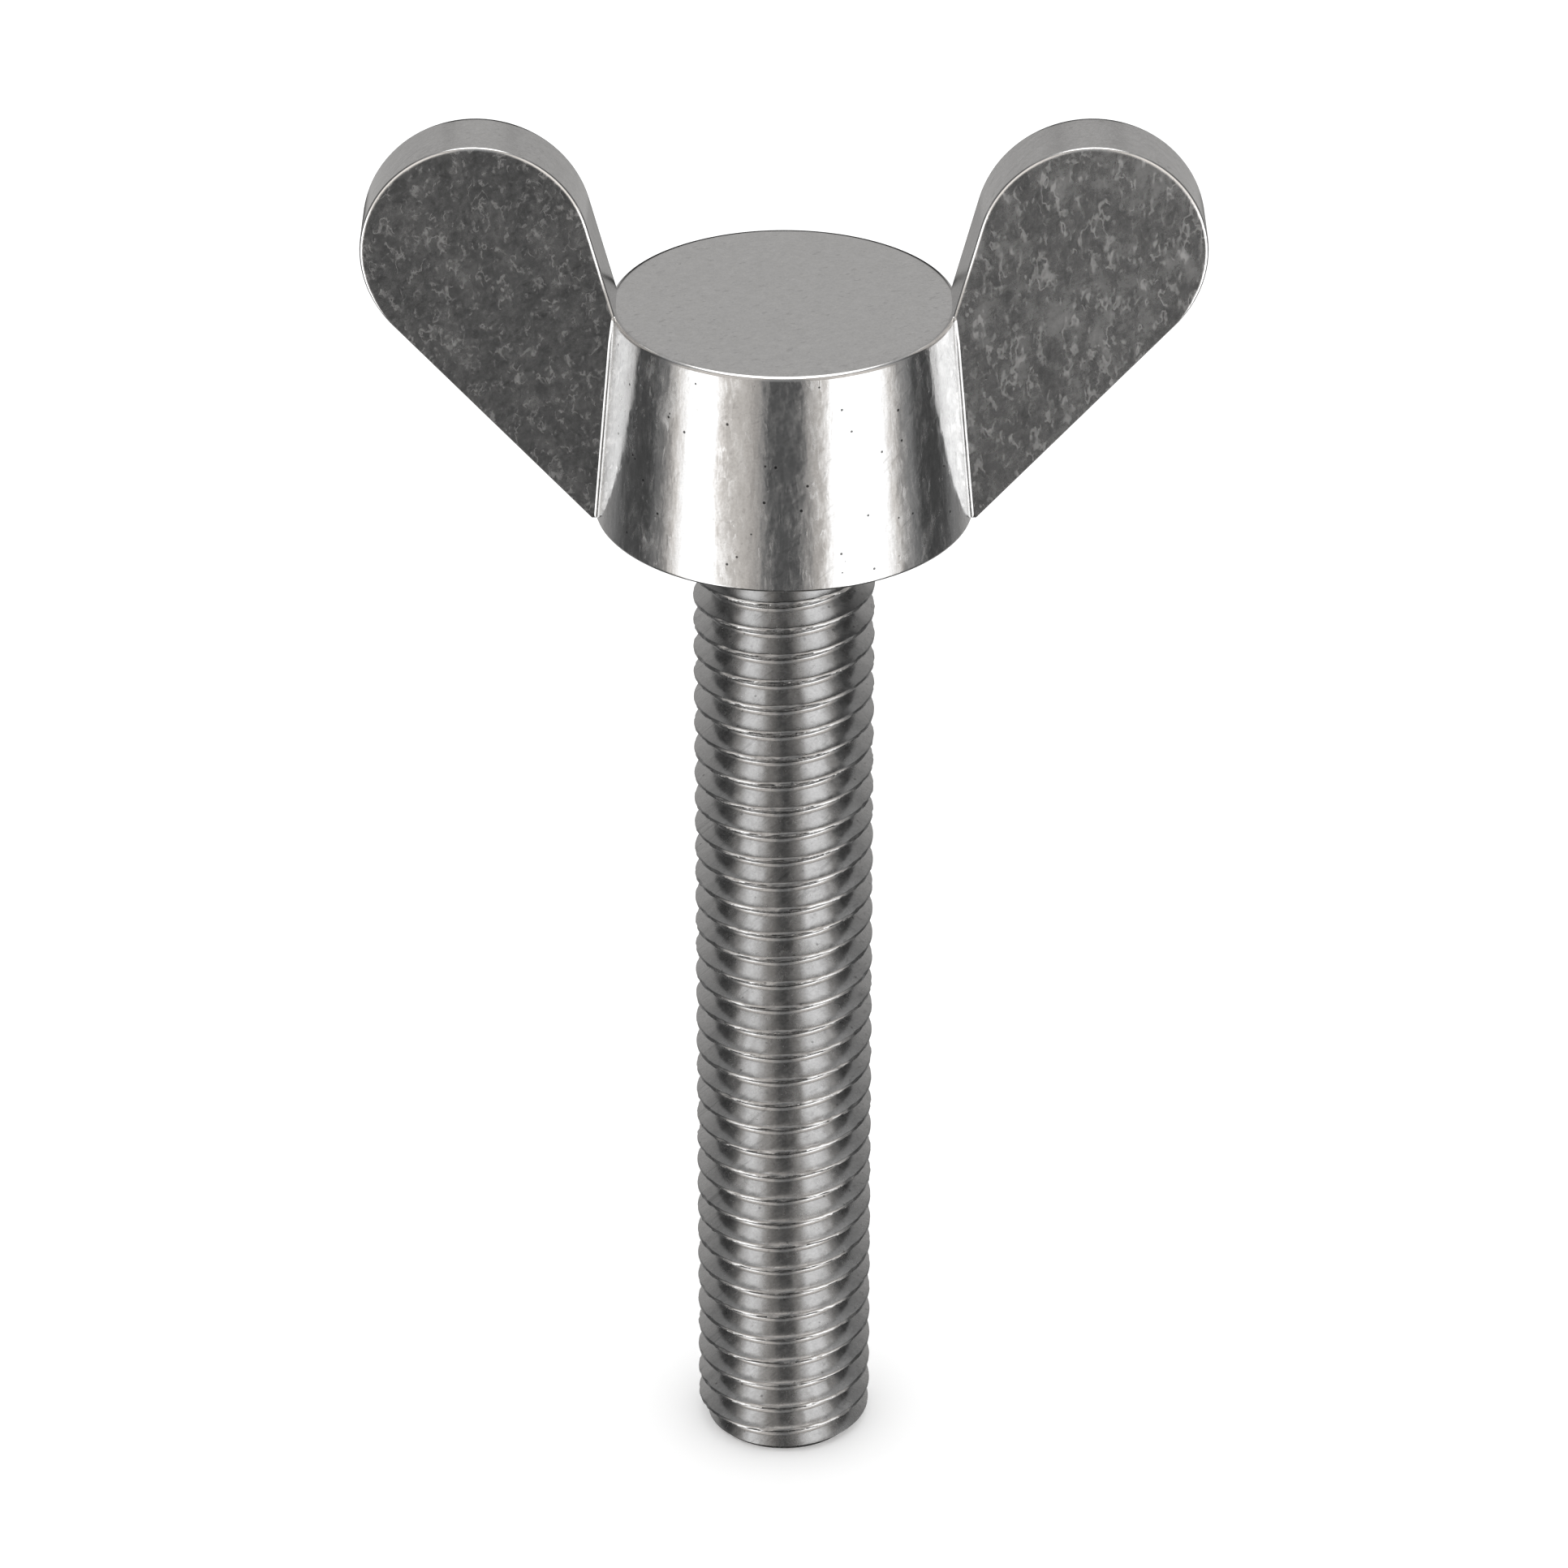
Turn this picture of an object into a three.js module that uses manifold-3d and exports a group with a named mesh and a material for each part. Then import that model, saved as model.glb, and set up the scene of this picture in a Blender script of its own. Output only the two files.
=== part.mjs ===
// Wing screw: a turned hub with two flat wings let into its sides, and an M8 x 1.25 stud below.
// Millimetres, +Z up along the screw's axis towards the head. The origin is the centre of the
// stud's flat tip, and the wings lie along X.

import * as THREE from "three";
import { ParametricGeometry } from "three/addons/geometries/ParametricGeometry.js";
import { mergeVertices } from "three/addons/utils/BufferGeometryUtils.js";
import Module from "manifold-3d";

// Stud: a right-hand 60 degree thread over its whole free length.
const PITCH = 1.25;
const MAJOR_RADIUS = 3.9;
const THREAD_DEPTH = 0.6134 * PITCH;
const CREST_WIDTH = PITCH / 8;
const FLANK_ANGLE = THREE.MathUtils.degToRad(30); // from the plane across the axis
const STUD_LENGTH = 46.7; // from the tip to the hub's underside
const TIP_CHAMFER = 0.6; // 45 degrees, down to the flat tip
const SPIGOT_RADIUS = 3.3;
const SPIGOT_LENGTH = 6.9;
const SPIGOT_CHAMFER = 0.4;

// Hub: a truncated cone with a closed flat top.
const HUB_BASE_RADIUS = 8.05;
const HUB_TOP_RADIUS = 7.19;
const HUB_HEIGHT = 9.44;
const HUB_BEVEL = 0.12;

// Wings: teardrop plates, heights from the hub's underside.
const WING_THICKNESS = 3.19;
const WING_BEVEL = 0.13;
const WING_FOOT = 0.05;
const WING_END_X = 12.76; // centre of the rounded end
const WING_END_HEIGHT = 12.33;
const WING_END_RADIUS = 4.8;
const LOWER_EDGE_RISE = THREE.MathUtils.degToRad(47.8); // from horizontal
const INNER_EDGE_LEAN = THREE.MathUtils.degToRad(14.9); // outwards from vertical

// Hidden joints: a tenon on each wing, and a blind bore for the stud's spigot.
const TENON_THICKNESS = 2.2;
const TENON_INNER_X = 5.2;
const TENON_OUTER_X = 8;
const TENON_BOTTOM = 1.5;
const TENON_TOP = 8;
const JOINT_GAP = 0.05; // left for solder or adhesive all round
const BORE_DEPTH = SPIGOT_LENGTH + 0.2;
const DRILL_POINT_HEIGHT = 1;
const BORE_MOUTH_RADIUS = 4.2; // countersunk wider than the thread, so the bearing ring stays clear
const BORE_MOUTH_DEPTH = 0.3;
const CUT_MARGIN = 1; // how far a cutting body reaches past the face that it opens

// Facets.
const THREAD_SEGMENTS = 24; // round one turn
const HUB_SEGMENTS = 96;
const WING_CURVE_DIVISIONS = 16;

const wasm = await Module();
wasm.setup();

// A closed geometry as a solid that can be joined and cut.
function solidOf(geometry) {
  const bare = geometry.clone();
  bare.deleteAttribute("normal");
  bare.deleteAttribute("uv");
  const merged = mergeVertices(bare);
  return new wasm.Manifold(
    new wasm.Mesh({
      numProp: 3,
      vertProperties: new Float32Array(merged.attributes.position.array),
      triVerts: new Uint32Array(merged.index.array),
    }),
  );
}

// The solid as a geometry with flat-shaded facets.
function geometryOf(solid) {
  const mesh = solid.getMesh();
  const geometry = new THREE.BufferGeometry();
  geometry.setAttribute("position", new THREE.BufferAttribute(mesh.vertProperties, mesh.numProp));
  geometry.setIndex(new THREE.BufferAttribute(mesh.triVerts, 1));
  const faceted = geometry.toNonIndexed();
  faceted.computeVertexNormals();
  return faceted;
}

// A body of revolution about Z from [radius, height] pairs.
function turned(profile, segments) {
  const points = profile.map(([radius, height]) => new THREE.Vector2(radius, height));
  return new THREE.LatheGeometry(points, segments).rotateX(Math.PI / 2);
}

// A box between two corners.
function block(low, high) {
  const box = new THREE.Box3(new THREE.Vector3(...low), new THREE.Vector3(...high));
  const size = box.getSize(new THREE.Vector3());
  const centre = box.getCenter(new THREE.Vector3());
  return new THREE.BoxGeometry(size.x, size.y, size.z).translate(centre.x, centre.y, centre.z);
}

// A thread that starts below the tip and ends above the hub's underside. Each row of the grid climbs
// one pitch in a turn, so the seam's two sides meet. The first and the last turn fade to a point on
// the axis, which closes the surface. The middle of a crest passes +X at crestHeight.
function threadGeometry(crestHeight) {
  const rootRadius = MAJOR_RADIUS - THREAD_DEPTH;
  const halfCrest = CREST_WIDTH / 2;
  const halfRidge = halfCrest + THREAD_DEPTH * Math.tan(FLANK_ANGLE);
  const profile = [
    [rootRadius, -halfRidge],
    [MAJOR_RADIUS, -halfCrest],
    [MAJOR_RADIUS, halfCrest],
    [rootRadius, halfRidge],
  ];
  const sparePitches = 2;
  const fullTurns = Math.ceil(STUD_LENGTH / PITCH) + 2 * sparePitches;
  const start = crestHeight - (fullTurns - sparePitches) * PITCH;
  const lowPole = new THREE.Vector3(0, 0, start);
  const highPole = new THREE.Vector3(0, 0, start + fullTurns * PITCH);
  const stacks = (fullTurns + 2) * profile.length + 1;

  function surface(u, v, target) {
    const step = Math.round(u * THREAD_SEGMENTS);
    const row = Math.round(v * stacks) - 1;
    if (row < 0) return target.copy(lowPole);
    if (row >= stacks - 1) return target.copy(highPole);
    const [radius, offset] = profile[row % profile.length];
    const turn = Math.floor(row / profile.length) - 1;
    const angle = (2 * Math.PI * (step % THREAD_SEGMENTS)) / THREAD_SEGMENTS;
    const climb = (PITCH * (turn * THREAD_SEGMENTS + step)) / THREAD_SEGMENTS;
    target.set(radius * Math.cos(angle), radius * Math.sin(angle), start + climb + offset);
    if (turn < 0) target.lerp(lowPole, 1 - step / THREAD_SEGMENTS);
    if (turn === fullTurns) target.lerp(highPole, step / THREAD_SEGMENTS);
    return target;
  }

  return new ParametricGeometry(surface, THREAD_SEGMENTS, stacks);
}

// Threaded stud with a chamfered tip, and a plain spigot that the hub's bore holds.
function studGeometry() {
  const clear = MAJOR_RADIUS + TIP_CHAMFER;
  const tipRadius = MAJOR_RADIUS - TIP_CHAMFER;
  const envelope = turned(
    [
      [0, 0],
      [tipRadius, 0],
      [clear, clear - tipRadius],
      [clear, STUD_LENGTH],
      [0, STUD_LENGTH],
    ],
    2 * THREAD_SEGMENTS,
  );
  const spigotFoot = STUD_LENGTH - PITCH; // its core is buried in the thread, so that the two join
  const coreRadius = SPIGOT_RADIUS - SPIGOT_CHAMFER;
  const spigotEnd = STUD_LENGTH + SPIGOT_LENGTH;
  const spigot = turned(
    [
      [0, spigotFoot],
      [coreRadius, spigotFoot],
      [coreRadius, STUD_LENGTH],
      [SPIGOT_RADIUS, STUD_LENGTH],
      [SPIGOT_RADIUS, spigotEnd - SPIGOT_CHAMFER],
      [SPIGOT_RADIUS - SPIGOT_CHAMFER, spigotEnd],
      [0, spigotEnd],
    ],
    2 * THREAD_SEGMENTS,
  );
  const thread = solidOf(threadGeometry(STUD_LENGTH));
  return geometryOf(thread.intersect(solidOf(envelope)).add(solidOf(spigot)));
}

// Hub with its bore and the two pockets for the tenons. Its underside is at height 0.
function hubGeometry() {
  const boreRadius = SPIGOT_RADIUS + JOINT_GAP;
  const body = turned(
    [
      [0, BORE_DEPTH + DRILL_POINT_HEIGHT],
      [boreRadius, BORE_DEPTH],
      [boreRadius, BORE_MOUTH_DEPTH],
      [BORE_MOUTH_RADIUS, 0],
      [HUB_BASE_RADIUS - HUB_BEVEL, 0],
      [HUB_BASE_RADIUS, HUB_BEVEL],
      [HUB_TOP_RADIUS, HUB_HEIGHT - HUB_BEVEL],
      [HUB_TOP_RADIUS - HUB_BEVEL, HUB_HEIGHT],
      [0, HUB_HEIGHT],
    ],
    HUB_SEGMENTS,
  );
  const pocketInner = TENON_INNER_X - JOINT_GAP;
  const pocketOuter = HUB_BASE_RADIUS + CUT_MARGIN;
  const pocketSide = TENON_THICKNESS / 2 + JOINT_GAP;
  const pocketBottom = TENON_BOTTOM - JOINT_GAP;
  const pocketTop = TENON_TOP + JOINT_GAP;
  const right = block([pocketInner, -pocketSide, pocketBottom], [pocketOuter, pocketSide, pocketTop]);
  const left = right.clone().rotateZ(Math.PI);
  return geometryOf(solidOf(body).subtract(solidOf(right)).subtract(solidOf(left)));
}

// The plate's outline in the XZ plane. Its inner side is where the plate's edge leaves the hub's
// flank, its lower and inner edges run straight into the rounded end, and it stands on a small foot.
function wingOutline() {
  const edgeDepth = WING_THICKNESS / 2 - WING_BEVEL;
  const footX = Math.sqrt(HUB_BASE_RADIUS ** 2 - edgeDepth ** 2);
  const lowerX = WING_END_X + WING_END_RADIUS * Math.sin(LOWER_EDGE_RISE);
  const lowerHeight = WING_END_HEIGHT - WING_END_RADIUS * Math.cos(LOWER_EDGE_RISE);
  const innerX = WING_END_X - WING_END_RADIUS * Math.cos(INNER_EDGE_LEAN);
  const innerHeight = WING_END_HEIGHT + WING_END_RADIUS * Math.sin(INNER_EDGE_LEAN);
  const outline = new THREE.Shape();
  outline.moveTo(footX, WING_FOOT);
  outline.lineTo(lowerX - (lowerHeight - WING_FOOT) / Math.tan(LOWER_EDGE_RISE), WING_FOOT);
  const arcStart = LOWER_EDGE_RISE - Math.PI / 2;
  const arcEnd = Math.PI - INNER_EDGE_LEAN;
  outline.absarc(WING_END_X, WING_END_HEIGHT, WING_END_RADIUS, arcStart, arcEnd, false);
  outline.lineTo(innerX - (innerHeight - HUB_HEIGHT) * Math.tan(INNER_EDGE_LEAN), HUB_HEIGHT);
  outline.closePath();
  return outline;
}

// Right wing: a plate with bevelled edges whose shoulder follows the hub's flank, and a tenon.
function wingGeometry() {
  const plate = new THREE.ExtrudeGeometry(wingOutline(), {
    depth: WING_THICKNESS - 2 * WING_BEVEL,
    curveSegments: WING_CURVE_DIVISIONS,
    bevelThickness: WING_BEVEL,
    bevelSize: WING_BEVEL,
    bevelOffset: -WING_BEVEL,
    bevelSegments: 1,
  });
  plate.translate(0, 0, WING_BEVEL - WING_THICKNESS / 2);
  plate.rotateX(Math.PI / 2);
  const room = turned(
    [
      [0, -CUT_MARGIN],
      [HUB_BASE_RADIUS + JOINT_GAP, -CUT_MARGIN],
      [HUB_BASE_RADIUS + JOINT_GAP, 0],
      [HUB_TOP_RADIUS + JOINT_GAP, HUB_HEIGHT],
      [HUB_TOP_RADIUS, HUB_HEIGHT + JOINT_GAP],
      [0, HUB_HEIGHT + JOINT_GAP],
    ],
    HUB_SEGMENTS,
  );
  const side = TENON_THICKNESS / 2;
  const tenon = block([TENON_INNER_X, -side, TENON_BOTTOM], [TENON_OUTER_X, side, TENON_TOP]);
  return geometryOf(solidOf(plate).subtract(solidOf(room)).add(solidOf(tenon)));
}

function steel(color, roughness) {
  return new THREE.MeshStandardMaterial({ color, roughness, metalness: 1 });
}

function namedMesh(name, geometry, material) {
  const mesh = new THREE.Mesh(geometry, material);
  mesh.name = name;
  return mesh;
}

const stud = namedMesh("threaded_stud", studGeometry(), steel(0xa4a29e, 0.35));

// The head's pieces share the hub's underside as their zero height.
const head = new THREE.Group();
head.position.z = STUD_LENGTH;
const wing = wingGeometry();
const wingRight = namedMesh("wing_right", wing, steel(0x8f8e8c, 0.4));
const wingLeft = namedMesh("wing_left", wing, steel(0x8f8e8c, 0.4));
wingLeft.rotation.z = Math.PI;
head.add(namedMesh("hub", hubGeometry(), steel(0x9d9c99, 0.35)), wingRight, wingLeft);

const group = new THREE.Group();
group.add(stud, head);

export default group;
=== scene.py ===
import math
import random

import bpy
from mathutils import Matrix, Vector


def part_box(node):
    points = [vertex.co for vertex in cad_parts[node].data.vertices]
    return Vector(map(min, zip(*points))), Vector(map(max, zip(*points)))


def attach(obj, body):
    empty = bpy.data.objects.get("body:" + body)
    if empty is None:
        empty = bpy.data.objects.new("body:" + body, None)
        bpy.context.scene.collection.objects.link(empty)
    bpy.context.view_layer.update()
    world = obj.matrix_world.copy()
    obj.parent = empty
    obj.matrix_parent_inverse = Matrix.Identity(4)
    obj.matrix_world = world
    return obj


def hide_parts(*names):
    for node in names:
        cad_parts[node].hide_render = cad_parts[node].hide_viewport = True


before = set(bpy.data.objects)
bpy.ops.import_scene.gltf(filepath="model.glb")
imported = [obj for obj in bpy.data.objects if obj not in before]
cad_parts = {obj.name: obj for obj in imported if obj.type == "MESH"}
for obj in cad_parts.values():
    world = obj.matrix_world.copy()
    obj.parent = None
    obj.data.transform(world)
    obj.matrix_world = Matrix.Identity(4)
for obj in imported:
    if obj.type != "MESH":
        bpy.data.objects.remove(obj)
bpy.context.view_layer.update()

# Wing screw: fine meshes, worn steel and a studio around the CAD frame.
# Shape sizes are in millimetres and become metres in mesh_object().

MM = 0.001
SHARP_COSINE = math.cos(math.radians(35))  # faces that meet more sharply share no shading
ON_AXIS = 1e-6  # an outline's points nearer the axis than this become one vertex
EDGE_STEPS = 5  # round each rounded edge

# Heights and radii that the frame gives.
HUB_LOW, HUB_HIGH = (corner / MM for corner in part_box("hub"))
WING_LOW, WING_HIGH = (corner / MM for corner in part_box("wing_right"))
STUD_LOW, STUD_HIGH = (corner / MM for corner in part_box("threaded_stud"))
HEAD_Z = HUB_LOW.z
HUB_HEIGHT = HUB_HIGH.z - HUB_LOW.z
HUB_BASE_RADIUS = HUB_HIGH.x
MAJOR_RADIUS = STUD_HIGH.x
WING_THICKNESS = WING_HIGH.y - WING_LOW.y
WING_TIP_X = WING_HIGH.x
WING_TOP = WING_HIGH.z - HEAD_Z

# Reach of the rolled edges into the hub's top and the back of the wings' rims.
ROLLED_EDGE = 0.33

# Hub.
HUB_TOP_RADIUS = 7.25
HUB_TOP_EDGE = 0.18
HUB_FOOT_EDGE = 0.16
HUB_FOOT_DROP = 0.07
HUB_SEGMENTS = 256
FLAT_BORDER = 1  # width of the ring of faces round the hub's flat top and underside

# Wings.
WING_END_RADIUS = 4.8
WING_FOOT = 0.05
WING_EDGE = 0.18
FOOT_EDGE_RATIO = 1.35  # the foot's edge is rounder than the others
LOWER_EDGE_RATIO = 0.5  # the straight lower edge is sharper
SHARP_ARC = math.radians(15)  # the part of the arc in which the lower edge turns round
SHOULDER_WIDTH, SHOULDER_DEPTH = 0.14, 0.10  # the flat along the wing's joint with the hub
LOWER_EDGE_STEPS, ARC_STEPS, INNER_EDGE_STEPS, SHOULDER_STEPS = 12, 56, 6, 8
WALL_STEPS = 6  # across the plate, between its rounded edges
CORNER_BEND = 0.1  # edges that turn by more than this meet at a corner of the outline
LOWER_EDGE_RISE = math.radians(47.8)
INNER_EDGE_LEAN = math.radians(14.9)

# Thread.
PITCH = 1.25
THREAD_DEPTH = 0.6134 * PITCH
HALF_CREST = PITCH / 16
FLANK_ANGLE = math.radians(30)
CREST_EDGE = 0.062
ROOT_EDGE = 0.09
THREAD_EDGE_STEPS = 3
TIP_CHAMFER = 0.6
TURN_SEGMENTS = 96
SPARE_TURNS = 2  # cut off at the stud's two ends
NICK_DEPTH = 0.06
NICK_SEED = 8
LOWER_NICK_POWER, UPPER_NICK_POWER = 2, 6  # a higher power makes deep nicks rarer


def mesh_object(name, vertices, faces):
    """A smooth-shaded object in the scene, from vertices in millimetres."""
    mesh = bpy.data.meshes.new(name)
    mesh.from_pydata([Vector(v) * MM for v in vertices], [], faces)
    mesh.validate()
    mesh.shade_smooth()
    piece = bpy.data.objects.new(name, mesh)
    bpy.context.scene.collection.objects.link(piece)
    return piece


def keep_faces_flat(piece, apart=()):
    """Shading normals in which a large face outweighs the narrow faces of a rounded edge beside it. The
    faces numbered in apart share shading only with each other."""
    mesh = piece.data
    around = [[] for _ in mesh.vertices]
    for face in mesh.polygons:
        weight = (face.area / MM**2) ** 2
        for vertex in face.vertices:
            around[vertex].append((face.normal.copy(), weight, face.index in apart))
    corner_normals = []
    for face in mesh.polygons:
        for vertex in face.vertices:
            total = Vector()
            for normal, weight, is_apart in around[vertex]:
                if normal.dot(face.normal) > SHARP_COSINE and is_apart == (face.index in apart):
                    total += normal * weight
            corner_normals.append(total.normalized())
    mesh.normals_split_custom_set(corner_normals)


def edge_curve(first, corner, last, steps):
    """Points from first to last on the curve that leaves and arrives along the lines to the corner."""
    points = []
    for step in range(steps + 1):
        share = step / steps
        points.append(first.lerp(corner, share).lerp(corner.lerp(last, share), share))
    return points


def rounded(corners, steps=EDGE_STEPS):
    """An open outline through (x, y, reach back, reach ahead) corners. A corner with reaches becomes a
    curve that starts and ends that far from it."""
    points = []
    for index, (x, y, *reaches) in enumerate(corners):
        corner = Vector((x, y))
        if not reaches:
            points.append(corner)
            continue
        back = (Vector(corners[index - 1][:2]) - corner).normalized()
        ahead = (Vector(corners[index + 1][:2]) - corner).normalized()
        points += edge_curve(corner + back * reaches[0], corner, corner + ahead * reaches[1], steps)
    return points


def turned_body(name, outline, segments):
    """A body of revolution about Z. The outline runs from the axis, up the outside, back to the axis."""
    vertices, faces, rings = [], [], []
    for radius, height in outline:
        if radius < ON_AXIS:
            rings.append([len(vertices)] * segments)
            vertices.append((0, 0, height))
            continue
        rings.append(range(len(vertices), len(vertices) + segments))
        for segment in range(segments):
            angle = 2 * math.pi * segment / segments
            vertices.append((radius * math.cos(angle), radius * math.sin(angle), height))
    for lower, upper in zip(rings, rings[1:]):
        for segment in range(segments):
            following = (segment + 1) % segments
            corners = [lower[segment], lower[following], upper[following], upper[segment]]
            faces.append(list(dict.fromkeys(corners)))
    return mesh_object(name, vertices, faces)


def build_hub():
    top = HEAD_Z + HUB_HEIGHT
    foot = HEAD_Z - HUB_FOOT_DROP
    outline = rounded(
        [
            (0, foot),
            (HUB_BASE_RADIUS - FLAT_BORDER, foot),
            (HUB_BASE_RADIUS, foot, HUB_FOOT_EDGE, HUB_FOOT_EDGE),
            (HUB_TOP_RADIUS, top, HUB_TOP_EDGE, ROLLED_EDGE),
            (HUB_TOP_RADIUS - FLAT_BORDER, top),
            (0, top),
        ]
    )
    hub = turned_body("hub_body", outline, HUB_SEGMENTS)
    keep_faces_flat(hub)
    return hub


def hub_radius(height):
    return HUB_BASE_RADIUS + (HUB_TOP_RADIUS - HUB_BASE_RADIUS) * height / HUB_HEIGHT


def wing_outline(edge_depth):
    """(x, height) points round the right wing. The last ones lie on the hub's flank."""
    centre = Vector((WING_TIP_X - WING_END_RADIUS, WING_TOP - WING_END_RADIUS))
    rise, lean = LOWER_EDGE_RISE, INNER_EDGE_LEAN
    lower = centre + WING_END_RADIUS * Vector((math.sin(rise), -math.cos(rise)))
    inner = centre + WING_END_RADIUS * Vector((-math.cos(lean), math.sin(lean)))
    foot_x = lower.x - (lower.y - WING_FOOT) / math.tan(rise)
    rim_x = inner.x - (inner.y - HUB_HEIGHT) * math.tan(lean)
    points = [Vector((foot_x, WING_FOOT))]
    for step in range(1, LOWER_EDGE_STEPS):
        points.append(points[0].lerp(lower, step / LOWER_EDGE_STEPS))
    start, end = rise - math.pi / 2, math.pi - lean
    for step in range(ARC_STEPS + 1):
        angle = start + (end - start) * step / ARC_STEPS
        points.append(centre + WING_END_RADIUS * Vector((math.cos(angle), math.sin(angle))))
    rim = Vector((rim_x, HUB_HEIGHT))
    for step in range(1, INNER_EDGE_STEPS + 1):
        points.append(inner.lerp(rim, step / INNER_EDGE_STEPS))
    for step in range(1, SHOULDER_STEPS + 1):
        height = HUB_HEIGHT + (WING_FOOT - HUB_HEIGHT) * step / SHOULDER_STEPS
        points.append(Vector((math.sqrt(hub_radius(height) ** 2 - edge_depth**2), height)))
    return points


def wing_edge_ratios(count):
    """How round each edge of the wing's outline is: the foot, the lower edge, the arc and the inner edge,
    then none along the shoulder. Edge i ends at point i."""
    arc_step = (math.pi - INNER_EDGE_LEAN - LOWER_EDGE_RISE + math.pi / 2) / ARC_STEPS
    turning_steps = round(SHARP_ARC / arc_step)
    ratios = [FOOT_EDGE_RATIO] + [LOWER_EDGE_RATIO] * LOWER_EDGE_STEPS
    for step in range(turning_steps):
        ratios.append(LOWER_EDGE_RATIO + (1 - LOWER_EDGE_RATIO) * step / turning_steps)
    ratios += [1] * (count - SHOULDER_STEPS - len(ratios))
    return ratios


def inset(points, distances):
    """The closed outline with each edge moved inwards by its own distance. Edge i ends at point i, and
    the outline runs anticlockwise."""
    moved = []
    for index, point in enumerate(points):
        following = (index + 1) % len(points)
        before = (point - points[index - 1]).normalized()
        after = (points[following] - point).normalized()
        inward_before = Vector((-before.y, before.x))
        inward_after = Vector((-after.y, after.x))
        mitre = (inward_before + inward_after) / (1 + inward_before.dot(inward_after))
        shift = mitre * distances[index]
        bend = before.cross(after)
        if abs(bend) > CORNER_BEND:
            shift += before * (distances[index] - distances[following]) / bend
        moved.append(point + shift)
    return moved


def build_wing(name, side):
    """A plate with rounded edges. Its shoulder is hollowed to sit on the hub's cone."""
    half = WING_THICKNESS / 2
    outline = wing_outline(half - WING_EDGE)
    front_corner, back_corner = Vector((-half, 0)), Vector((half, 0))
    up_face, across_rim = Vector((0, WING_EDGE)), Vector((WING_EDGE, 0))
    front = edge_curve(front_corner + up_face, front_corner, front_corner + across_rim, EDGE_STEPS)
    rolled_from = back_corner - Vector((ROLLED_EDGE, 0))
    back = edge_curve(rolled_from, back_corner, back_corner + up_face, EDGE_STEPS)
    wall = [front[-1].lerp(back[0], step / WALL_STEPS) for step in range(1, WALL_STEPS)]
    layers = front + wall + back
    if side < 0:
        layers = [Vector((-depth, inward)) for depth, inward in reversed(layers)]
    count = len(outline)
    ratios = wing_edge_ratios(count)
    vertices, faces = [], []
    for depth, inward in layers:
        cut_back = SHOULDER_WIDTH * max(0, 1 - (half - abs(depth)) / SHOULDER_DEPTH)
        distances = [ratio * inward for ratio in ratios] + [cut_back] * SHOULDER_STEPS
        for index, point in enumerate(inset(outline, distances)):
            x = point.x
            if index >= count - SHOULDER_STEPS:
                x = math.sqrt(hub_radius(point.y) ** 2 - depth**2) + cut_back
            vertices.append((side * x, side * depth, HEAD_Z + point.y))
    shoulder_faces = set()
    for layer in range(len(layers) - 1):
        for index in range(count):
            following = (index + 1) % count
            near, far = layer * count, (layer + 1) * count
            if count - SHOULDER_STEPS - 1 <= index < count - 1:
                shoulder_faces.add(len(faces))
            faces.append([near + index, near + following, far + following, far + index])
    last = (len(layers) - 1) * count
    faces.append(list(reversed(range(count))))
    faces.append(list(range(last, last + count)))
    faces = [list(reversed(face)) for face in faces]
    wing = mesh_object(name, vertices, faces)
    keep_faces_flat(wing, shoulder_faces)
    return wing


def thread_profile():
    """(radius, offset) points of one pitch, from the middle of a root to just short of the next."""
    root = MAJOR_RADIUS - THREAD_DEPTH
    half_ridge = HALF_CREST + THREAD_DEPTH * math.tan(FLANK_ANGLE)
    corners = [
        (root, -PITCH / 2),
        (root, -half_ridge, ROOT_EDGE, ROOT_EDGE),
        (MAJOR_RADIUS, -HALF_CREST, CREST_EDGE, CREST_EDGE),
        (MAJOR_RADIUS, HALF_CREST, CREST_EDGE, CREST_EDGE),
        (root, half_ridge, ROOT_EDGE, ROOT_EDGE),
        (root, PITCH / 2),
    ]
    return rounded(corners, THREAD_EDGE_STEPS)[:-1]


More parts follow.
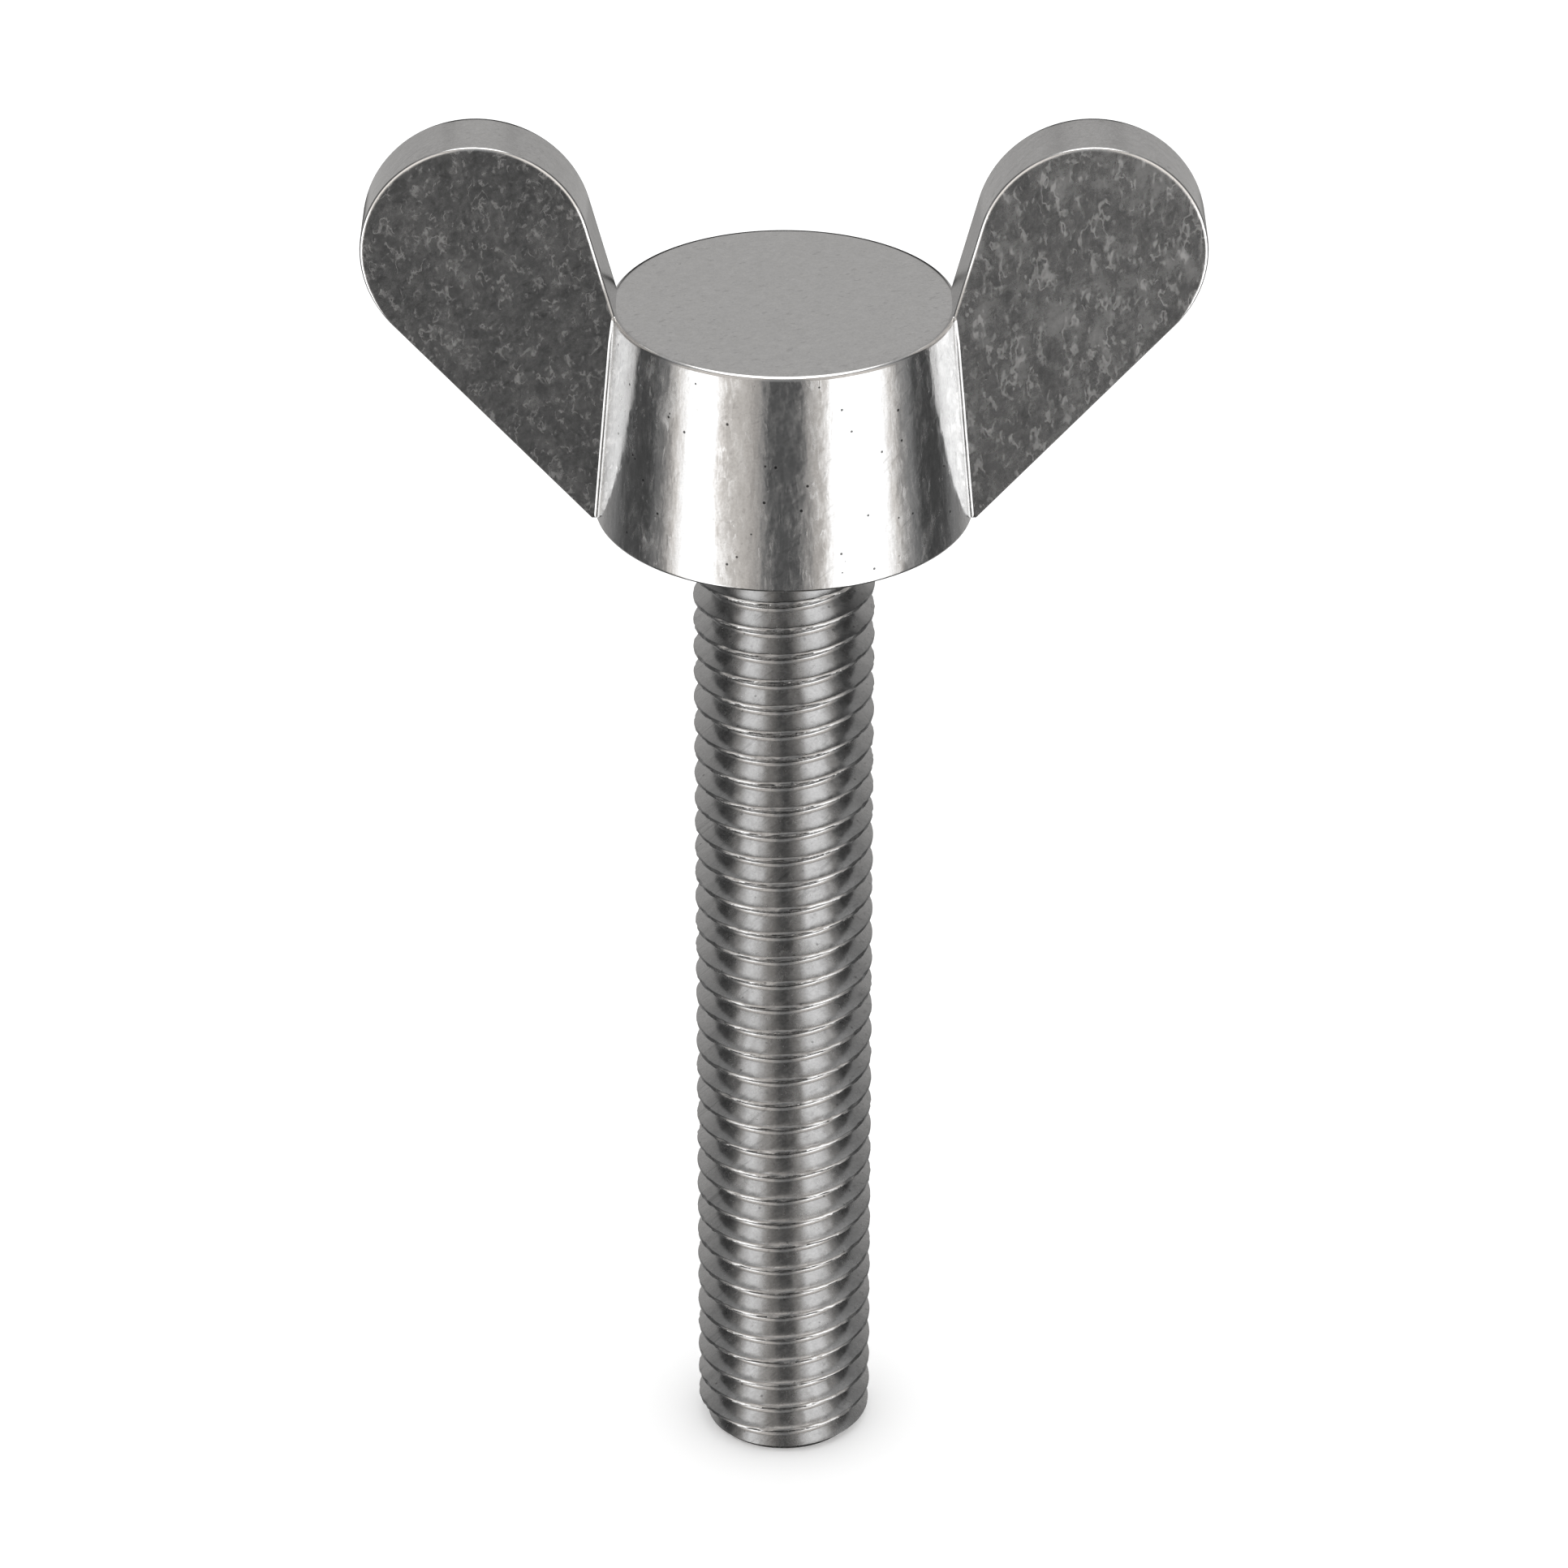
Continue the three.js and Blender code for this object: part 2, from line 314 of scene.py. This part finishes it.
def endless_thread(name):
    """A right-hand thread from below the tip to the hub's underside, closed by fans to the axis. The upper
    fan follows the thread, from half a pitch below the underside to half a pitch above it."""
    profile = thread_profile()
    size = len(profile)
    crest_radius = MAJOR_RADIUS - 1.5 * CREST_EDGE  # points outside it belong to the crest
    turns = math.ceil(HEAD_Z / PITCH) + SPARE_TURNS
    start = HEAD_Z - (turns - 1) * PITCH
    vertices, faces = [], []
    steps = turns * TURN_SEGMENTS
    nicks = random.Random(NICK_SEED)
    for step in range(steps + 1):
        angle = 2 * math.pi * step / TURN_SEGMENTS
        climb = start + PITCH * step / TURN_SEGMENTS
        lower_nick = NICK_DEPTH * nicks.random() ** LOWER_NICK_POWER
        upper_nick = NICK_DEPTH * nicks.random() ** UPPER_NICK_POWER
        for radius, offset in profile:
            if radius > crest_radius:
                radius -= lower_nick if offset < 0 else upper_nick
            vertices.append((radius * math.cos(angle), radius * math.sin(angle), climb + offset))

    def vertex(step, row):
        """Rows past the profile's end belong to the next turn of the helix."""
        return (step + TURN_SEGMENTS * (row // size)) * size + row % size

    for step in range(steps - TURN_SEGMENTS):
        for row in range(size):
            corners = [(step, row), (step + 1, row), (step + 1, row + 1), (step, row + 1)]
            faces.append([vertex(*corner) for corner in corners])
    for base, flip in ((0, False), (steps - TURN_SEGMENTS, True)):
        pole = len(vertices)
        vertices.append((0, 0, start + PITCH * (base / TURN_SEGMENTS)))
        rim = [vertex(base + step, 0) for step in range(TURN_SEGMENTS + 1)]
        rim += [vertex(base, row) for row in range(size - 1, -1, -1)]
        for one, two in zip(rim, rim[1:]):
            faces.append([pole, one, two] if flip else [pole, two, one])
    return mesh_object(name, vertices, faces)


def build_stud():
    """The thread cut to length, with its tip chamfered."""
    stud = endless_thread("threaded_rod")
    clear = MAJOR_RADIUS + TIP_CHAMFER
    tip_radius = MAJOR_RADIUS - TIP_CHAMFER
    outline = [(0, 0), (tip_radius, 0), (clear, clear - tip_radius), (clear, HEAD_Z), (0, HEAD_Z)]
    envelope = turned_body("stud_envelope", outline, 2 * TURN_SEGMENTS)
    cut = stud.modifiers.new("cut", "BOOLEAN")
    cut.operation = "INTERSECT"
    cut.solver = "MANIFOLD"
    cut.object = envelope
    bpy.context.view_layer.update()
    evaluated = stud.evaluated_get(bpy.context.evaluated_depsgraph_get())
    mesh = bpy.data.meshes.new_from_object(evaluated)
    stud.modifiers.clear()
    stud.data = mesh
    bpy.data.objects.remove(envelope)
    mesh.shade_smooth()
    keep_faces_flat(stud)
    return stud


# Camera: lens and sensor in millimetres, place and clipping in metres.
CAMERA_LENS = 150
CAMERA_SENSOR = 36
CAMERA_CLIP = 0.01
CAMERA_PLACE = (0, -0.24684, 0.17375)
CAMERA_TILT = math.radians(60.30)


def build_camera():
    """The photograph's viewing angle: from straight in front of the wings, looking down."""
    camera = bpy.data.objects.new("camera", bpy.data.cameras.new("camera"))
    camera.data.lens = CAMERA_LENS
    camera.data.sensor_width = CAMERA_SENSOR
    camera.data.clip_start = CAMERA_CLIP
    camera.location = CAMERA_PLACE
    camera.rotation_euler = (CAMERA_TILT, 0, 0)
    bpy.context.scene.collection.objects.link(camera)
    bpy.context.scene.camera = camera


class Nodes:
    """Short calls for building one node tree."""

    def __init__(self, tree):
        self.tree = tree
        tree.nodes.clear()

    def add(self, kind, inputs=None, **settings):
        node = self.tree.nodes.new(kind)
        for key, value in settings.items():
            setattr(node, key, value)
        for key, value in (inputs or {}).items():
            self.feed(node.inputs[key], value)
        return node

    def feed(self, socket, value):
        if isinstance(value, bpy.types.NodeSocket):
            self.tree.links.new(value, socket)
        else:
            socket.default_value = value

    def math(self, operation, *values, clamp=False):
        node = self.add("ShaderNodeMath", operation=operation, use_clamp=clamp)
        for socket, value in zip(node.inputs, values):
            self.feed(socket, value)
        return node.outputs[0]

    def product(self, *values):
        result = values[0]
        for value in values[1:]:
            result = self.math("MULTIPLY", result, value)
        return result

    def total(self, *values):
        result = values[0]
        for value in values[1:]:
            result = self.math("ADD", result, value)
        return result

    def weighted(self, *pairs):
        """The sum of (value, weight) pairs."""
        return self.total(*(self.product(value, weight) for value, weight in pairs))

    def smooth(self, value, low, high, to_low=0.0, to_high=1.0):
        """value turned smoothly from to_low at low to to_high at high."""
        node = self.add("ShaderNodeMapRange", interpolation_type="SMOOTHSTEP")
        for key, number in zip(
            ("Value", "From Min", "From Max", "To Min", "To Max"),
            (value, low, high, to_low, to_high),
        ):
            self.feed(node.inputs[key], number)
        return node.outputs["Result"]

    def window(self, value, rise_from, rise_to, fall_from, fall_to):
        """1 between rise_to and fall_from, and 0 before rise_from and after fall_to."""
        return self.product(self.smooth(value, rise_from, rise_to), self.smooth(value, fall_to, fall_from))

    def mix(self, share, first, second):
        node = self.add("ShaderNodeMix", data_type="FLOAT")
        for socket, value in zip(node.inputs[0:1] + node.inputs[2:4], (share, first, second)):
            self.feed(socket, value)
        return node.outputs[0]

    def vector(self, operation, *values):
        """The node for a vector calculation."""
        return self.add("ShaderNodeVectorMath", dict(enumerate(values)), operation=operation)

    def dot(self, first, second):
        return self.vector("DOT_PRODUCT", first, second).outputs["Value"]


# The studio's walls, as (degrees round from the camera, +X side positive, brightness).
WALL_LEVELS = (
    (-180, 0.52),
    (-150, 0.45),
    (-126, 0.25),
    (-112, 0.09),
    (-92, 0.08),
    (-82, 0.20),
    (-68, 0.66),
    (-45, 0.80),
    (-24, 0.68),
    (-17, 0.475),
    (-8, 0.24),
    (10, 0.24),
    (20, 0.60),
    (40, 0.85),
    (62, 0.76),
    (80, 0.34),
    (94, 0.08),
    (112, 0.08),
    (126, 0.25),
    (150, 0.45),
    (180, 0.52),
)


# Azimuths are degrees round from the camera, with +X positive, and elevations degrees above level.
GAP_LEVEL, GAP_EDGE, GAP_FULL = 0.115, 16, 8
GAP_DARKENS = (0, -18)
LEFT_PANEL = (-75, -55, -50, -36)
RIGHT_PANEL = (23, 34, 54, 78)
LEFT_PANEL_WIDENS = (-19, -24, 0.0, 10.0)  # towards the gap, going down
PANEL_TOP = (-2, -12)
PANEL_FOOT = (-38, -31)
PANEL_LEVEL = 1.6
PANELS_REACH_LOWER = (34, 50, 0.0, 14.0)  # the far ends of the panels go further down
FAR_WALL_LEVEL, FAR_WALL_SIDES, FAR_WALL_TOP = 0.02, (163, 171), (22, 14)
CEILING_LEVEL, CEILING_RISES = 0.40, (36, 60)
GROUND_LEVEL, GROUND_STARTS = 0.045, (-33, -39)
GROUND_BESIDE_LEVEL, GROUND_BESIDE = 0.06, (15, 50, 120, 150)
OVERHEAD_LEVEL, OVERHEAD_EDGE, OVERHEAD_FULL = 2.2, 26, 17
OVERHEAD_ELEVATION = math.radians(75)
WARM_FRONT, WARM_BACK, WARM_BACK_SHARE = (10, 18, 70, 85), (120, 140), 0.3
HOT_STAYS_WHITE = (0.6, 0.1)
WARMTH = 0.055
EVEN_LIGHT = 1.25


def build_world():
    """A studio seen only in reflections: two soft panels in front with a dark gap between them, a third
    light overhead, dark sides, a grey back and a dark ground. The camera sees plain white, and the
    floor is lit evenly."""
    world = bpy.data.worlds.new("studio")
    world.use_nodes = True
    world.cycles.sampling_method = "NONE"
    bpy.context.scene.world = world
    nodes = Nodes(world.node_tree)
    direction = nodes.add("ShaderNodeTexCoord").outputs["Generated"]
    split = nodes.add("ShaderNodeSeparateXYZ", {"Vector": direction}).outputs
    towards_camera = nodes.product(split["Y"], -1.0)
    around = nodes.math("ARCTAN2", split["X"], towards_camera)
    azimuth = nodes.product(around, 180 / math.pi)
    aside = nodes.math("ABSOLUTE", azimuth)
    elevation = nodes.product(nodes.math("ARCSINE", split["Z"]), 180 / math.pi)

    walls = nodes.add("ShaderNodeValToRGB")
    walls.color_ramp.interpolation = "EASE"
    stops = walls.color_ramp.elements
    while len(stops) < len(WALL_LEVELS):
        stops.new(1)
    for stop, (degrees, level) in zip(stops, WALL_LEVELS):
        stop.position = (degrees + 180) / 360
        stop.color = (level, level, level, 1)
    nodes.feed(walls.inputs["Fac"], nodes.math("DIVIDE", nodes.total(azimuth, 180.0), 360.0))
    wall = walls.outputs["Color"]

    # The gap between the panels is darker below the horizon, where the panels' low parts shine.
    gap = nodes.smooth(aside, GAP_EDGE, GAP_FULL)
    level = nodes.mix(nodes.product(gap, nodes.smooth(elevation, *GAP_DARKENS)), wall, GAP_LEVEL)
    left_azimuth = nodes.math("SUBTRACT", azimuth, nodes.smooth(elevation, *LEFT_PANEL_WIDENS))
    outer, outer_full, inner_full, inner = LEFT_PANEL
    left = nodes.product(
        nodes.smooth(azimuth, outer, outer_full), nodes.smooth(left_azimuth, inner, inner_full)
    )
    right = nodes.window(azimuth, *RIGHT_PANEL)
    above_ground = nodes.total(elevation, nodes.smooth(aside, *PANELS_REACH_LOWER))
    low = nodes.product(nodes.smooth(above_ground, *PANEL_FOOT), nodes.smooth(elevation, *PANEL_TOP))
    hot = nodes.product(nodes.total(left, right), low)
    level = nodes.total(level, nodes.product(hot, PANEL_LEVEL))

    # Dark far wall low down, even light high up, a dark ground, and the overhead light.
    far = nodes.product(nodes.smooth(aside, *FAR_WALL_SIDES), nodes.smooth(elevation, *FAR_WALL_TOP))
    level = nodes.mix(far, level, FAR_WALL_LEVEL)
    level = nodes.mix(nodes.smooth(elevation, *CEILING_RISES), level, CEILING_LEVEL)
    beside = nodes.window(aside, *GROUND_BESIDE)
    ground = nodes.total(nodes.product(beside, GROUND_BESIDE_LEVEL), GROUND_LEVEL)
    level = nodes.mix(nodes.smooth(above_ground, *GROUND_STARTS), level, ground)
    overhead = nodes.dot(direction, (0, math.cos(OVERHEAD_ELEVATION), math.sin(OVERHEAD_ELEVATION)))
    off_light = nodes.product(nodes.math("ARCCOSINE", overhead), 180 / math.pi)
    level = nodes.total(level, nodes.smooth(off_light, OVERHEAD_EDGE, OVERHEAD_FULL, 0.0, OVERHEAD_LEVEL))

    # The walls are a little warm, and the panels white.
    warm = nodes.window(aside, *WARM_FRONT)
    warm = nodes.total(warm, nodes.smooth(aside, *WARM_BACK, 0.0, WARM_BACK_SHARE))
    warm = nodes.product(warm, nodes.smooth(hot, *HOT_STAYS_WHITE))
    red = nodes.product(level, nodes.total(nodes.product(warm, WARMTH), 1.0))
    blue = nodes.product(level, nodes.math("SUBTRACT", 1.0, nodes.product(warm, WARMTH)))
    level = nodes.add("ShaderNodeCombineColor", {0: red, 1: level, 2: blue}).outputs[0]

    studio = nodes.add("ShaderNodeBackground", {"Color": level})
    even = nodes.add("ShaderNodeBackground", {"Color": (1, 1, 1, 1), "Strength": EVEN_LIGHT})
    path = nodes.add("ShaderNodeLightPath").outputs
    plain = nodes.math("MAXIMUM", path["Is Camera Ray"], path["Is Diffuse Ray"])
    seen = nodes.add("ShaderNodeMixShader", {0: plain, 1: studio.outputs[0], 2: even.outputs[0]})
    nodes.add("ShaderNodeOutputWorld", {"Surface": seen.outputs[0]})


FLOOR_REACH = 3  # metres each way


def build_floor():
    """A plain pale floor under the tip. It stays out of the metal's reflections."""
    reach = FLOOR_REACH / MM
    corners = [(-reach, -reach, 0), (reach, -reach, 0), (reach, reach, 0), (-reach, reach, 0)]
    floor = mesh_object("floor", corners, [[0, 1, 2, 3]])
    material = bpy.data.materials.new("pale_floor")
    material.use_nodes = True
    nodes = Nodes(material.node_tree)
    paint = nodes.add("ShaderNodeBsdfDiffuse", {"Color": (1, 1, 1, 1)})
    nodes.add("ShaderNodeOutputMaterial", {"Surface": paint.outputs[0]})
    floor.data.materials.append(material)
    floor.visible_glossy = False


# Directions, in the frame, along and across the steel's brush lines.
BRUSH_ALONG = Vector((0.75, 0.38, 0.54)).normalized()
BRUSH_ACROSS = BRUSH_ALONG.orthogonal().normalized()
BRUSH_DEPTH = BRUSH_ALONG.cross(BRUSH_ACROSS)
BRUSH_LENGTHWISE, BRUSH_CROSSWISE = 0.12, 5  # brush lines in a millimetre

# How many of each feature there are in a millimetre.
PATCH_SCALE = 0.25
CLOUD_SCALE = 0.9
CURL_SCALE = 2.2
MOTTLE_SCALE = 2.2
STROKE_SCALE = 1.5
BREAK_SCALE = 2.2
GRAIN_SCALE = 9
PIT_SCALE = 1.6
RELIEF_SCALE = 1.0
BURR_SCALE = 4
SCRATCH_SCALE = 0.8  # in the room of one brush line

# Flecks as (number in a millimetre, share of the cells without one).
FLECKS = ((2.6, 0.72), (4.2, 0.78))
FLECK_REACH = 0.5
STROKE_WIDTH = 0.07
PIT_RIM, PIT_FLOOR, PITLESS_SHARE = 0.12, 0.07, 0.6

# What each feature adds to the roughness, to the brightness, and to the marks that darken or lighten
# worn metal.
SCUFF_ROUGHNESS, FLECK_ROUGHNESS, MOTTLE_ROUGHNESS, BRUSH_ROUGHNESS = 0.17, 0.19, 0.4, 0.10
BRUSH_SHADE, GRAIN_SHADE, MOTTLE_SHADE, SCRATCH_SHADE, PIT_SHADE = 0.10, 0.26, 0.16, 0.08, 0.1
FLECK_MARK, MOTTLE_MARK = 0.62, 0.5
RELIEF_HEIGHT, FLECK_HEIGHT = 0.012, 0.001  # millimetres

# The steel of each piece.
#   axis       wear changes as faces turn towards this direction
#   turned     the two cosines between which it changes
#   wear       its two values
#   flow       stretches the marks: small numbers make them long in that direction
#   curls      strength of the strokes
#   sheen      roughness of the clean metal
#   tone       brightness of the clean metal
#   ingrained  share of the wear that marks the colour, and not the roughness
#   haze       strength of the scuffs in the marks
#   matt       roughness that all worn metal gains
#   painted_shade  painted shade: brightness that all worn metal loses, more on the left wing
#   painted_highlight  painted highlight: brightness that rounded edges gain
#   burr       height of the burrs on edges that face down, in millimetres
HUB_STEEL = {
    "axis": (0, 0, 1),
    "turned": (0.12, 0.4),
    "wear": (1.2, 0.04),
    "flow": (1.2, 1.2, 0.4),
    "curls": 0.3,
    "sheen": 0.12,
    "tone": 0.64,
    "ingrained": 0.15,
    "haze": 0.42,
    "matt": 0,
    "painted_shade": 0,
    "painted_highlight": 0.2,
    "burr": 0,
}
RIGHT_WING_STEEL = {
    "axis": (0, 1, 0),
    "turned": (0.93, 0.99),
    "wear": (0.08, 0.9),
    "flow": (1.1, 1, 0.55),
    "curls": 1.0,
    "sheen": 0.2,
    "tone": 0.64,
    "ingrained": 0.65,
    "haze": 0.42,
    "matt": 0.06,
    "painted_shade": 0.105,
    "painted_highlight": 0.36,
    "burr": 0,
}
# The same steel as the right wing, with stronger painted shade on its worn faces.
LEFT_WING_STEEL = {
    **RIGHT_WING_STEEL,
    "wear": (0.08, 0.8),
    "flow": (1.15, 1, 0.8),
    "sheen": 0.12,
    "ingrained": 0.6,
    "haze": 0.15,
    "matt": 0.12,
    "painted_shade": 0.235,
}
STUD_STEEL = {
    "axis": (0, 0, 1),
    "turned": (0, 1),
    "wear": (0.5, 0.5),
    "flow": (1, 1, 1),
    "curls": 0.2,
    "sheen": 0.2,
    "tone": 0.54,
    "ingrained": 0,
    "haze": 0,
    "matt": 0,
    "painted_shade": 0,
    "painted_highlight": 0,
    "burr": 0.05,
}


def noise(nodes, where, scale, detail=2.0, roughness=0.5, distortion=0.0):
    """Cloudy noise from 0 to 1 with about `scale` features in a millimetre."""
    inputs = {
        "Vector": where,
        "Scale": scale,
        "Detail": detail,
        "Roughness": roughness,
        "Distortion": distortion,
    }
    return nodes.add("ShaderNodeTexNoise", inputs).outputs["Fac"]


def scattered(nodes, where, scale, channel):
    """Distances to the centres of scattered cells, and a random number for each cell."""
    cells = nodes.add("ShaderNodeTexVoronoi", {"Vector": where, "Scale": scale}).outputs
    draw = nodes.add("ShaderNodeSeparateColor", {0: cells["Color"]}).outputs[channel]
    return cells["Distance"], draw


def curling_flecks(nodes, curled, flow, curls):
    """Thin strokes where a noise crosses its middle, broken up by another one, and flecks in two sizes."""
    crossing = nodes.math("ABSOLUTE", nodes.math("SUBTRACT", noise(nodes, curled, STROKE_SCALE, 1), 0.5))
    broken = nodes.smooth(noise(nodes, flow, BREAK_SCALE, 1), 0.46, 0.6, 0.0, curls)
    result = nodes.product(nodes.smooth(crossing, STROKE_WIDTH, 0.0), broken)
    flecks = []
    for scale, share in FLECKS:
        distance, draw = scattered(nodes, curled, scale, 0)
        strength = nodes.smooth(draw, share, 1.0)
        flecks.append(nodes.product(nodes.smooth(distance, FLECK_REACH, 0.0), strength))
    return nodes.math("MAXIMUM", result, nodes.math("MAXIMUM", *flecks))


def brush_space(nodes, mm):
    """Coordinates in which brush lines are as long as they are wide."""
    directions = (
        BRUSH_ALONG * BRUSH_LENGTHWISE,
        BRUSH_ACROSS * BRUSH_CROSSWISE,
        BRUSH_DEPTH * BRUSH_CROSSWISE,
    )
    axes = [nodes.dot(mm, direction) for direction in directions]
    return nodes.add("ShaderNodeCombineXYZ", dict(zip("XYZ", axes))).outputs[0]


def burrs(nodes, normal, mm):
    """Ragged height on the narrow edges that face down, between the flanks and the crests."""
    down = nodes.add("ShaderNodeSeparateXYZ", {"Vector": normal}).outputs["Z"]
    edge = nodes.product(nodes.smooth(down, -0.1, -0.35), nodes.smooth(down, -0.82, -0.7))
    return nodes.product(edge, noise(nodes, mm, BURR_SCALE, 1))


def worn_steel(name, steel):
    """Brushed steel with cloudy scuffs, curling strokes, flecks, pits, scratches and brush lines, with a
    painted highlight on rounded edges and painted shade on worn faces.
    """
    material = bpy.data.materials.new(name)
    material.use_nodes = True
    nodes = Nodes(material.node_tree)
    coordinates = nodes.add("ShaderNodeTexCoord").outputs
    mm = nodes.add("ShaderNodeVectorMath", {0: coordinates["Object"], "Scale": 1 / MM}, operation="SCALE")
    mm = mm.outputs[0]
    flow = nodes.vector("MULTIPLY", mm, steel["flow"]).outputs[0]
    curl = nodes.add("ShaderNodeTexNoise", {"Vector": flow, "Scale": CURL_SCALE, "Detail": 2.0})
    curled = nodes.vector("MULTIPLY_ADD", curl.outputs["Color"], (1, 1, 1), flow).outputs[0]

    facing = nodes.math("ABSOLUTE", nodes.dot(coordinates["Normal"], steel["axis"]))
    worn = nodes.smooth(facing, *steel["turned"], *steel["wear"])

    # Cloudy scuffs, gathered in wider patches, and soft mottling.
    patches = nodes.smooth(noise(nodes, mm, PATCH_SCALE, 2), 0.35, 0.65)
    clouds = nodes.smooth(noise(nodes, flow, CLOUD_SCALE, 4, 0.6, 0.5), 0.36, 0.72)
    scuff = nodes.product(clouds, nodes.total(nodes.product(patches, 0.7), 0.3))
    mottle = nodes.math("SUBTRACT", noise(nodes, curled, MOTTLE_SCALE, 5, 0.62), 0.5)
    fleck = curling_flecks(nodes, curled, flow, steel["curls"])

    # Brush lines, fine grain and scratches.
    stretched = brush_space(nodes, mm)
    brush = nodes.math("SUBTRACT", noise(nodes, stretched, 1.0, 3), 0.5)
    grain = nodes.math("SUBTRACT", noise(nodes, mm, GRAIN_SCALE, 3, 0.8), 0.5)
    scratch = nodes.smooth(noise(nodes, stretched, SCRATCH_SCALE, 1), 0.66, 0.72)

    # Pits.
    distance, draw = scattered(nodes, mm, PIT_SCALE, 1)
    pit = nodes.smooth(distance, PIT_RIM, PIT_FLOOR)
    pit = nodes.product(pit, nodes.math("GREATER_THAN", draw, PITLESS_SHARE))

    dulled = nodes.weighted(
        (scuff, SCUFF_ROUGHNESS), (fleck, FLECK_ROUGHNESS), (mottle, MOTTLE_ROUGHNESS)
    )
    dulled = nodes.math("MULTIPLY_ADD", dulled, 1.0 - steel["ingrained"], steel["matt"])
    roughness = nodes.total(nodes.product(dulled, worn), steel["sheen"])
    roughness = nodes.math("ADD", roughness, nodes.product(brush, BRUSH_ROUGHNESS), clamp=True)

    shade = nodes.weighted((brush, BRUSH_SHADE), (grain, GRAIN_SHADE), (mottle, MOTTLE_SHADE))
    marks = nodes.weighted((scuff, steel["haze"]), (fleck, FLECK_MARK), (mottle, MOTTLE_MARK))
    # Painted shade darkens the worn faces here, on top of their marks.
    marks = nodes.product(nodes.math("MULTIPLY_ADD", marks, steel["ingrained"], -steel["painted_shade"]), worn)
    # Painted highlight: the rounded edges between the faces are made brighter.
    edges = nodes.window(facing, 0.45, 0.65, 0.9, 0.97)
    shade = nodes.total(shade, nodes.math("MULTIPLY_ADD", edges, steel["painted_highlight"], marks))
    shade = nodes.math("SUBTRACT", shade, nodes.product(scratch, SCRATCH_SHADE))
    shade = nodes.total(shade, steel["tone"])
    shade = nodes.mix(nodes.product(pit, worn), shade, PIT_SHADE)

    height = nodes.product(noise(nodes, flow, RELIEF_SCALE, 3), worn, RELIEF_HEIGHT)
    height = nodes.total(height, nodes.product(fleck, worn, FLECK_HEIGHT))
    if steel["burr"]:
        height = nodes.total(height, nodes.product(burrs(nodes, coordinates["Normal"], mm), steel["burr"]))
    bump = nodes.add("ShaderNodeBump", {"Height": height, "Strength": 1.0, "Distance": MM})
    colour = nodes.add("ShaderNodeCombineColor", {0: shade, 1: shade, 2: shade}).outputs[0]
    inputs = {"Base Color": colour, "Metallic": 1.0, "Roughness": roughness, "Normal": bump.outputs[0]}
    surface = nodes.add("ShaderNodeBsdfPrincipled", inputs)
    nodes.add("ShaderNodeOutputMaterial", {"Surface": surface.outputs[0]})
    return material


for piece, node, slot, material_name, steel in (
    (build_hub(), "hub", "hub_steel", "hub_steel", HUB_STEEL),
    (build_wing("wing_plate_right", 1), "wing_right", "wing_steel", "right_wing_steel", RIGHT_WING_STEEL),
    (build_wing("wing_plate_left", -1), "wing_left", "wing_steel", "left_wing_steel", LEFT_WING_STEEL),
    (build_stud(), "threaded_stud", "stud_steel", "stud_steel", STUD_STEEL),
):
    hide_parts(node)
    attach(piece, "root")
    piece.data.materials.clear()
    piece.data.materials.append(worn_steel(material_name, steel))
build_world()
build_floor()
build_camera()
bpy.context.scene.view_settings.view_transform = "Standard"
